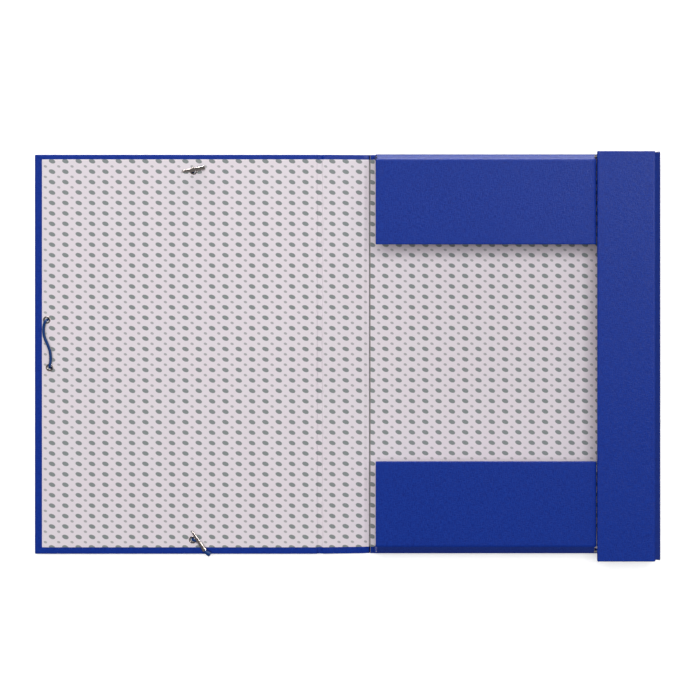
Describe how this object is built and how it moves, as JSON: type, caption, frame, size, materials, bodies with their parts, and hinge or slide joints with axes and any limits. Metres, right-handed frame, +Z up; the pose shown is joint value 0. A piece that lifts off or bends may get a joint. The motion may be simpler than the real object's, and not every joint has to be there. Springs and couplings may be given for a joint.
{
  "type": "archival folder box",
  "caption": "Cloth-covered folio box lying open, with a hinged cover and spine, a tray with three folding flaps, and an elastic cord closure in eyelets.",
  "frame": {"origin": "centre of the back board's outer face, which lies on the table", "axes": "+X towards the fore edge of the back, away from the spine; +Y towards the head; +Z up, out of the open inside"},
  "size_m": [0.5345, 0.3463, 0.0348],
  "materials": {
    "cloth": "linen-embossed royal blue covering paper, soft satin",
    "board": "raw greyboard",
    "lining": "smooth pinkish white paper with a small printed all-over motif in grey green",
    "nickel": "nickel-plated, polished",
    "elastic": "braided round elastic, royal blue"
  },
  "bodies": {
    "back": {"back_cloth": "cloth", "back_board": "board", "back_lining": "lining", "fore_flap_tongue": "lining", "top_flap_tongue": "lining", "bottom_flap_tongue": "lining"},
    "spine": {"spine_cloth": "cloth", "spine_board": "board", "spine_lining": "lining"},
    "cover": {"cover_cloth": "cloth", "cover_board": "board", "cover_lining": "lining", "upper_end_eyelet": "nickel", "upper_fore_eyelet": "nickel", "lower_fore_eyelet": "nickel", "lower_end_eyelet": "nickel", "elastic_cord": "elastic"},
    "upper_tag": {"upper_tag": "nickel", "upper_cord_end": "elastic"},
    "lower_tag": {"lower_tag": "nickel", "lower_cord_end": "elastic"},
    "top_wall": {"top_wall_cloth": "cloth", "top_wall_board": "board", "top_wall_lining": "lining"},
    "top_edge": {"top_edge_cloth": "cloth", "top_edge_lining": "lining"},
    "top_leaf": {"top_leaf_cloth": "cloth", "top_leaf_board": "board", "top_leaf_lining": "lining"},
    "bottom_wall": {"bottom_wall_cloth": "cloth", "bottom_wall_board": "board", "bottom_wall_lining": "lining"},
    "bottom_edge": {"bottom_edge_cloth": "cloth", "bottom_edge_lining": "lining"},
    "bottom_leaf": {"bottom_leaf_cloth": "cloth", "bottom_leaf_board": "board", "bottom_leaf_lining": "lining"},
    "fore_wall": {"fore_wall_cloth": "cloth", "fore_wall_board": "board", "fore_wall_lining": "lining"},
    "fore_edge": {"fore_edge_cloth": "cloth", "fore_edge_lining": "lining"},
    "fore_leaf": {"fore_leaf_cloth": "cloth", "fore_leaf_board": "board", "fore_leaf_lining": "lining"}
  },
  "joints": [
    {"name": "spine_fold", "type": "hinge", "parent": "back", "child": "spine", "pos_m": [-0.12535, 0, 0.0002], "axis": [0, 1, 0], "range_deg": [0, 86.12]},
    {"name": "cover_fold", "type": "hinge", "parent": "spine", "child": "cover", "pos_m": [-0.16586, 0, 0.00295], "axis": [0, 1, 0], "range_deg": [0, 93.88]},
    {"name": "top_flap_fold", "type": "hinge", "parent": "back", "child": "top_wall", "pos_m": [0, 0.171, 0.00305], "axis": [-1, 0, 0], "range_deg": [0, 90]},
    {"name": "top_edge_fold", "type": "hinge", "parent": "top_wall", "child": "top_edge", "pos_m": [0, 0.171, 0.02619], "axis": [-1, 0, 0], "range_deg": [0, 45]},
    {"name": "top_leaf_fold", "type": "hinge", "parent": "top_edge", "child": "top_leaf", "pos_m": [0, 0.16619, 0.031], "axis": [-1, 0, 0], "range_deg": [0, 45]},
    {"name": "bottom_flap_fold", "type": "hinge", "parent": "back", "child": "bottom_wall", "pos_m": [0, -0.1684, 0.00305], "axis": [1, 0, 0], "range_deg": [0, 90]},
    {"name": "bottom_edge_fold", "type": "hinge", "parent": "bottom_wall", "child": "bottom_edge", "pos_m": [0, -0.1684, 0.02351], "axis": [1, 0, 0], "range_deg": [0, 45]},
    {"name": "bottom_leaf_fold", "type": "hinge", "parent": "bottom_edge", "child": "bottom_leaf", "pos_m": [0, -0.1609, 0.031], "axis": [1, 0, 0], "range_deg": [0, 45]},
    {"name": "fore_flap_fold", "type": "hinge", "parent": "back", "child": "fore_wall", "pos_m": [0.1228, 0, 0.00305], "axis": [0, 1, 0], "range_deg": [0, 90]},
    {"name": "fore_edge_fold", "type": "hinge", "parent": "fore_wall", "child": "fore_edge", "pos_m": [0.1228, 0, 0.02872], "axis": [0, 1, 0], "range_deg": [0, 45]},
    {"name": "fore_leaf_fold", "type": "hinge", "parent": "fore_edge", "child": "fore_leaf", "pos_m": [0.11672, 0, 0.0348], "axis": [0, 1, 0], "range_deg": [0, 45]},
    {"name": "upper_tag_swivel", "type": "hinge", "parent": "cover", "child": "upper_tag", "pos_m": [-0.27485, 0.1581, 0.006], "axis": [0, 0, 1], "range_deg": [-30, 30]},
    {"name": "lower_tag_swivel", "type": "hinge", "parent": "cover", "child": "lower_tag", "pos_m": [-0.27545, -0.1599, 0.006], "axis": [0, 0, 1], "range_deg": [-30, 30]}
  ],
  "couplings": [
    {"joint": "top_edge_fold", "follows": "top_leaf_fold", "ratio": 1},
    {"joint": "bottom_edge_fold", "follows": "bottom_leaf_fold", "ratio": 1},
    {"joint": "fore_edge_fold", "follows": "fore_leaf_fold", "ratio": 1}
  ]
}
